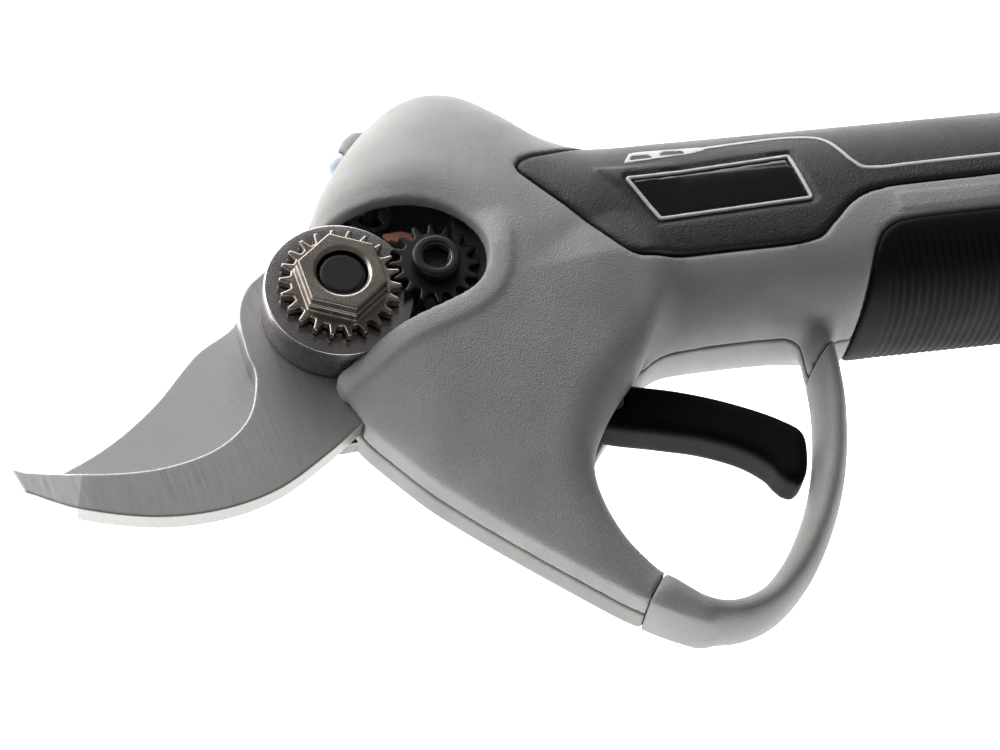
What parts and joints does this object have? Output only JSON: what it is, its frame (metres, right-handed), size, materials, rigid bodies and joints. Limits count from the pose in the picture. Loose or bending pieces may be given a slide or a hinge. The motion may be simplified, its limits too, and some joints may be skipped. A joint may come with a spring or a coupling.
{
  "type": "battery electric pruner",
  "caption": "Handheld battery pruning shear: hooked counter blade, geared cutting blade, trigger with bow guard, ribbed grip and slide-on battery pack.",
  "frame": {"origin": "under the middle of the whole tool, on the plane it lies on (plain side down, nut side up)", "axes": "+X along the handle from the blades to the battery, +Y towards the back of the tool, +Z along the pivot bolt towards its nut"},
  "size_m": [0.3396, 0.131, 0.049],
  "materials": {
    "grey_nylon": "fine moulded grain, glass-filled nylon",
    "black_cover": "fine pebble soft-touch overmould",
    "grip_rubber": "ribbed soft grip",
    "badge_gloss": "glossy blank badge plate with a pale rim",
    "trigger_black": "satin moulded",
    "black_plastic": "fine moulded grain",
    "dark_steel": "fine brushed, satin",
    "blade_steel": "ground across its length",
    "collar_steel": "turned side, matt top",
    "nickel_steel": "nickel-plated, satin",
    "black_oxide": "black oxide",
    "copper_leaf": "bare copper alloy leaf",
    "cast_alloy": "die-cast, lightly blasted",
    "gear_steel": "hobbed and hardened",
    "bearing_steel": "ground",
    "motor_steel": "drawn can, plated",
    "screw_steel": "zinc plated",
    "bronze": "sintered bronze",
    "brass": "cut brass",
    "clear_lens": "clear lens with a faint blue tint",
    "board_green": "solder mask",
    "cell_wrap": "heat-shrink sleeve"
  },
  "bodies": {
    "body": {"counter_blade": "dark_steel", "pivot_bolt": "black_oxide", "pivot_bush": "bronze", "thrust_washer": "bronze", "pivot_collar": "collar_steel", "pivot_nut": "nickel_steel", "lock_pinion": "black_oxide", "lock_screw": "black_oxide", "lock_leaf": "copper_leaf", "counter_blade_screw_1": "screw_steel", "counter_blade_screw_2": "screw_steel", "gear_case": "cast_alloy", "pinion_bearing": "bearing_steel", "gearbox_housing": "cast_alloy", "motor_can": "motor_steel", "motor_stator": "dark_steel", "motor_cap": "black_plastic", "housing_left": "grey_nylon", "housing_right": "grey_nylon", "trigger_guard": "grey_nylon", "top_cover": "black_cover", "grip_sleeve": "grip_rubber", "badge_left": "badge_gloss", "badge_right": "badge_gloss", "led_holder": "grey_nylon", "led_lens": "clear_lens", "trigger_pin": "screw_steel", "trigger_spring": "screw_steel", "control_board": "board_green", "release_spring": "screw_steel", "terminal_block": "black_plastic", "housing_screw_1": "screw_steel", "housing_screw_2": "screw_steel", "housing_screw_3": "screw_steel", "housing_screw_4": "screw_steel", "housing_screw_5": "screw_steel", "housing_screw_6": "screw_steel"},
    "blade": {"cutting_blade": "blade_steel", "blade_gear": "gear_steel"},
    "carrier": {"bevel_pinion": "gear_steel", "planet_carrier": "gear_steel"},
    "planet_gear_1": {"planet_1": "gear_steel"},
    "planet_gear_2": {"planet_2": "gear_steel"},
    "planet_gear_3": {"planet_3": "gear_steel"},
    "rotor": {"motor_rotor": "gear_steel", "sun_gear": "brass"},
    "trigger_lever": {"trigger": "trigger_black", "trigger_magnet": "bearing_steel"},
    "power_key": {"power_button": "trigger_black"},
    "release_key": {"release_button": "trigger_black"},
    "battery": {"battery_case": "black_plastic", "battery_end_cap": "black_plastic", "battery_cell_1": "cell_wrap", "battery_cell_2": "cell_wrap", "battery_cell_3": "cell_wrap", "battery_cell_4": "cell_wrap", "battery_cell_5": "cell_wrap", "battery_cell_6": "cell_wrap"}
  },
  "joints": [
    {"name": "blade_pivot", "type": "hinge", "parent": "body", "child": "blade", "pos_m": [-0.10025, 0.01496, 0.0245], "axis": [0, 0, 1], "range_deg": [-60, 0]},
    {"name": "carrier_spin", "type": "hinge", "parent": "body", "child": "carrier", "pos_m": [-0.05588, 0.01838, 0.0245], "axis": [0.997, 0.0769, 0], "range_deg": [-241, 1]},
    {"name": "rotor_spin", "type": "hinge", "parent": "body", "child": "rotor", "pos_m": [-0.05588, 0.01838, 0.0245], "axis": [0.997, 0.0769, 0], "range_deg": [-1084, 4]},
    {"name": "planet_spin_1", "type": "hinge", "parent": "carrier", "child": "planet_gear_1", "pos_m": [-0.05588, 0.01838, 0.01505], "axis": [0.997, 0.0769, 0], "range_deg": [-3, 675]},
    {"name": "planet_spin_2", "type": "hinge", "parent": "carrier", "child": "planet_gear_2", "pos_m": [-0.05651, 0.02654, 0.02923], "axis": [0.997, 0.0769, 0], "range_deg": [-3, 675]},
    {"name": "planet_spin_3", "type": "hinge", "parent": "carrier", "child": "planet_gear_3", "pos_m": [-0.05525, 0.01022, 0.02923], "axis": [0.997, 0.0769, 0], "range_deg": [-3, 675]},
    {"name": "trigger_pivot", "type": "hinge", "parent": "body", "child": "trigger_lever", "pos_m": [-0.05425, -0.00904, 0.0245], "axis": [0, 0, 1], "range_deg": [0, 9], "stiffness_Nm_per_rad": 0.5, "springref_deg": -11.46, "deforming": ["trigger_spring"]},
    {"name": "power_press", "type": "slide", "parent": "body", "child": "power_key", "axis": [0, -1, 0], "range_m": [0, 0.001], "stiffness_N_per_m": 250, "springref_m": -0.002},
    {"name": "release_press", "type": "slide", "parent": "body", "child": "release_key", "axis": [0, -1, 0], "range_m": [0, 0.002], "stiffness_N_per_m": 250, "springref_m": -0.002, "deforming": ["release_spring"]},
    {"name": "battery_slide", "type": "slide", "parent": "body", "child": "battery", "axis": [1, 0, 0], "range_m": [0, 0.06]}
  ],
  "couplings": [
    {"joint": "carrier_spin", "follows": "blade_pivot", "ratio": 4},
    {"joint": "rotor_spin", "follows": "blade_pivot", "ratio": 18},
    {"joint": "planet_spin_1", "follows": "blade_pivot", "ratio": -11.2},
    {"joint": "planet_spin_2", "follows": "blade_pivot", "ratio": -11.2},
    {"joint": "planet_spin_3", "follows": "blade_pivot", "ratio": -11.2}
  ]
}
